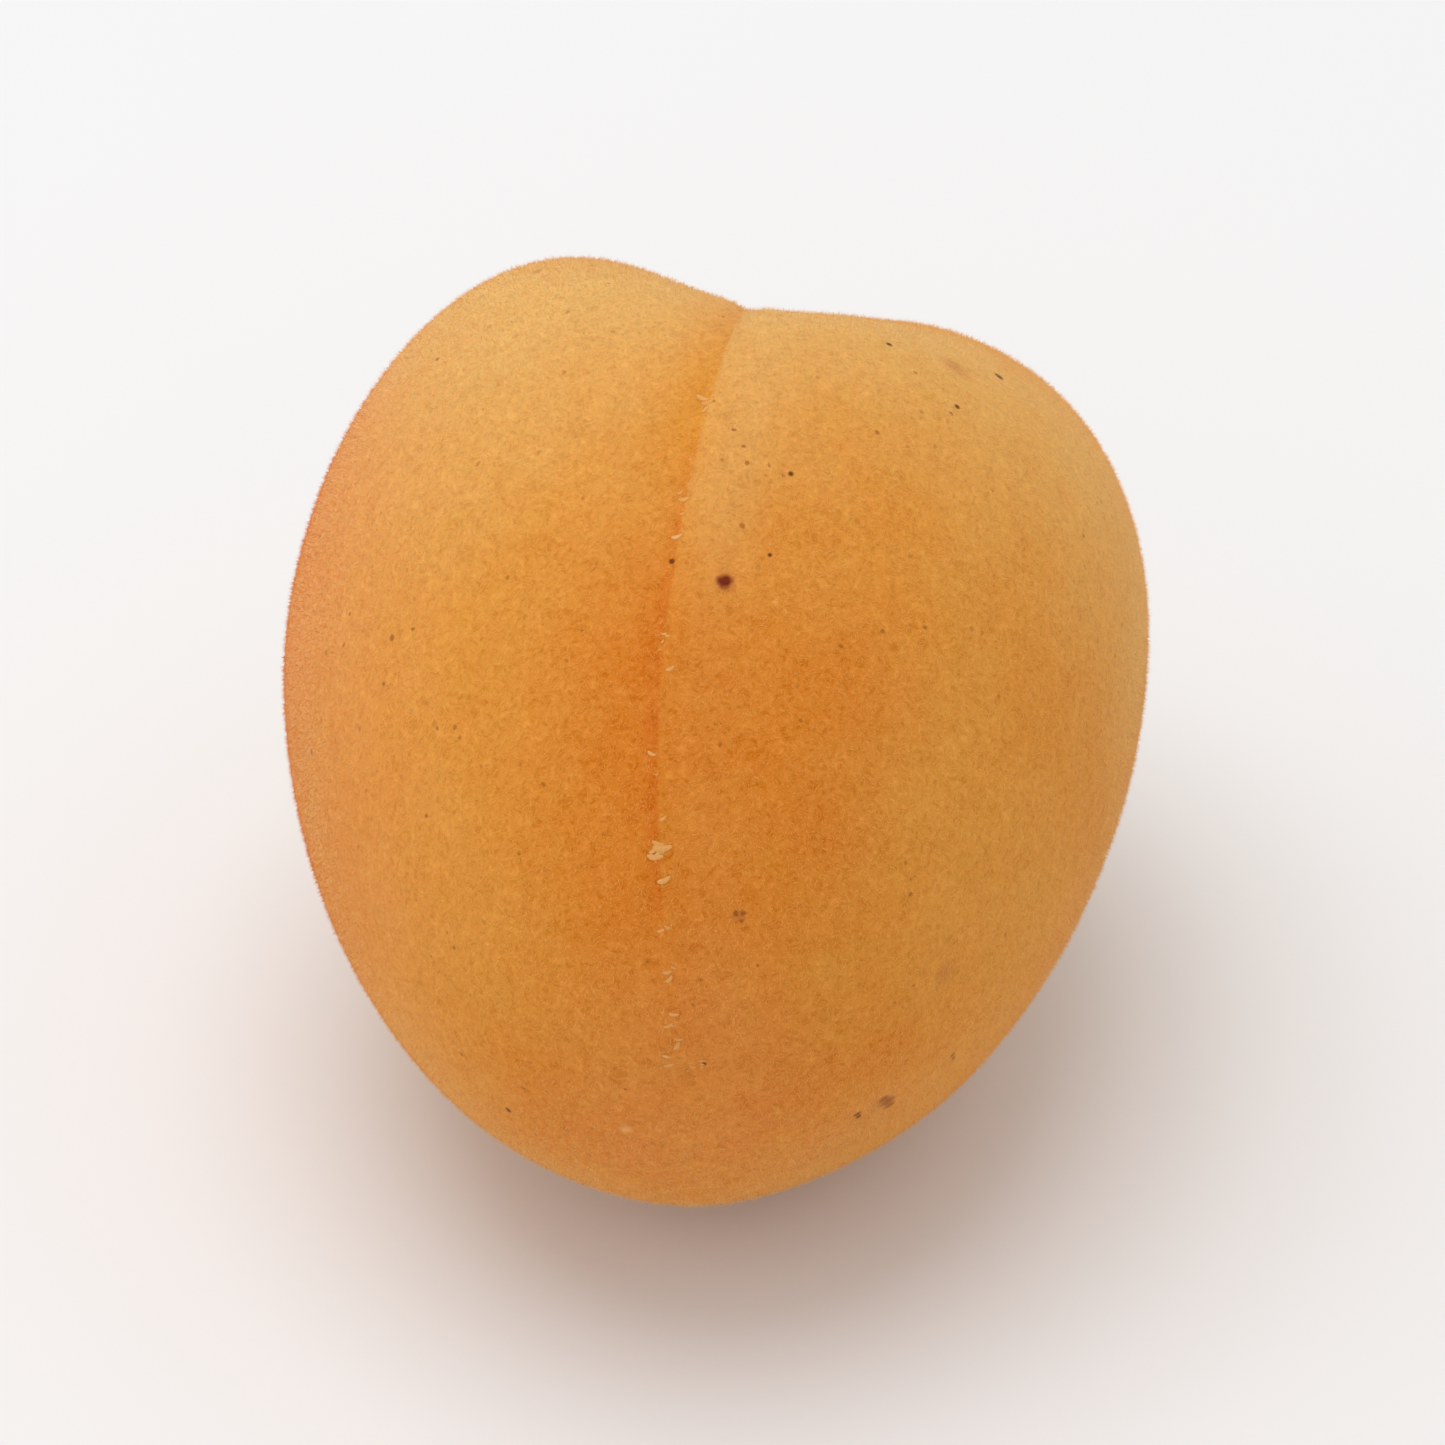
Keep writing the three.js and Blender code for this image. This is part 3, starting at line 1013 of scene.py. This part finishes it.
def stem_scar_material():
    """Dark corky fibres, straw where they are worn."""
    material, tree, shader = new_material("dry_stem_scar")
    place = object_place(tree)
    along_fruit = place.vector("MULTIPLY", (1.0, 0.4, 1.0))
    fibres = noise(along_fruit, scale=2.4, detail=4.0, seed=1.0, roughness=0.65)
    fine = noise(place, scale=9.0, detail=3.0, seed=2.0, roughness=0.6)
    colour = mix_colour(smooth(-0.4, 0.5, fibres), FIBRE_DARK, FIBRE_BROWN)
    colour = mix_colour(smooth(0.1, 0.7, fine) * 0.5, colour, FIBRE_STRAW)
    tree.links.new(colour.socket, shader.inputs["Base Color"])
    shader.inputs["Roughness"].default_value = 0.75
    relief = fibres + fine * 0.4
    bump = add(tree, "ShaderNodeBump", {"Strength": 0.6, "Distance": 0.00015, "Height": relief})
    tree.links.new(bump.socket, shader.inputs["Normal"])
    return material


# ---------------------------------------------------------------- camera, light and floor


def add_camera():
    """A long lens that looks at the middle of the fruit."""
    azimuth, elevation = math.radians(CAMERA_AZIMUTH), math.radians(CAMERA_ELEVATION)
    middle = Vector((-BODY["Middle x"], -BODY["Middle y"], -BODY["Floor z"])) * MM
    back = Vector(
        (
            math.sin(azimuth) * math.cos(elevation),
            -math.cos(azimuth) * math.cos(elevation),
            math.sin(elevation),
        )
    )
    data = bpy.data.cameras.new("camera")
    data.lens = CAMERA_LENS
    data.sensor_width = CAMERA_SENSOR
    camera = bpy.data.objects.new("camera", data)
    camera.location = middle + back * CAMERA_DISTANCE
    camera.rotation_euler = (-back).to_track_quat("-Z", "Y").to_euler()
    bpy.context.scene.collection.objects.link(camera)
    bpy.context.scene.camera = camera


def add_softbox(name, place, width, watts):
    """A round soft light that faces the fruit."""
    data = bpy.data.lights.new(name, "AREA")
    data.shape = "DISK"
    data.size = width
    data.energy = watts
    light = bpy.data.objects.new(name, data)
    light.location = place
    aim = Vector(LIGHT_TARGET) - Vector(place)
    light.rotation_euler = aim.to_track_quat("-Z", "Y").to_euler()
    bpy.context.scene.collection.objects.link(light)


def add_sky():
    """Even white light from all round."""
    scene = bpy.context.scene
    scene.view_settings.view_transform = "Standard"
    world = bpy.data.worlds.new("studio")
    world.use_nodes = True
    background = world.node_tree.nodes["Background"]
    background.inputs["Color"].default_value = WHITE
    background.inputs["Strength"].default_value = SKY_STRENGTH
    scene.world = world


def add_floor():
    """The pale table that the fruit lies on."""
    side = FLOOR_HALF_SIDE
    corners = [(-side, -side, 0), (side, -side, 0), (side, side, 0), (-side, side, 0)]
    data = bpy.data.meshes.new("floor")
    data.from_pydata(corners, [], [(0, 1, 2, 3)])
    floor = bpy.data.objects.new("floor", data)
    bpy.context.scene.collection.objects.link(floor)
    material, _, shader = new_material("pale_floor")
    shader.inputs["Base Color"].default_value = FLOOR_GREY
    shader.inputs["Roughness"].default_value = 0.8
    data.materials.append(material)


# ---------------------------------------------------------------- the whole


def main():
    """The fruit in its pieces, each riding on the one body, and the room round it."""
    add_camera()
    skin = grow("skin", skin_tree(), {"Material": skin_material()})
    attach(skin, "root")
    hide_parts("apricot")

    fuzz_look = hair_material()
    hairs = hair_tree()
    for title, side, upper, seed in HAIR_QUARTERS:
        values = {"Side": side, "Upper": upper, "Seed": seed, "Material": fuzz_look}
        fuzz = grow("fuzz_" + title, hairs, values, mesh=skin.data)
        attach(fuzz, "root")

    flakes = grow("suture_flakes", flake_tree(), {"Material": flake_material()}, mesh=skin.data)
    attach(flakes, "root")

    pit = bottom_of_pit(skin)
    values = {"X": pit.x, "Y": pit.y, "Z": pit.z, "Material": stem_scar_material()}
    scar = grow("stem_scar", stem_scar_tree(), values)
    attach(scar, "root")

    add_sky()
    for name, place, width, watts in SOFTBOXES:
        add_softbox(name, place, width, watts)
    add_floor()


main()
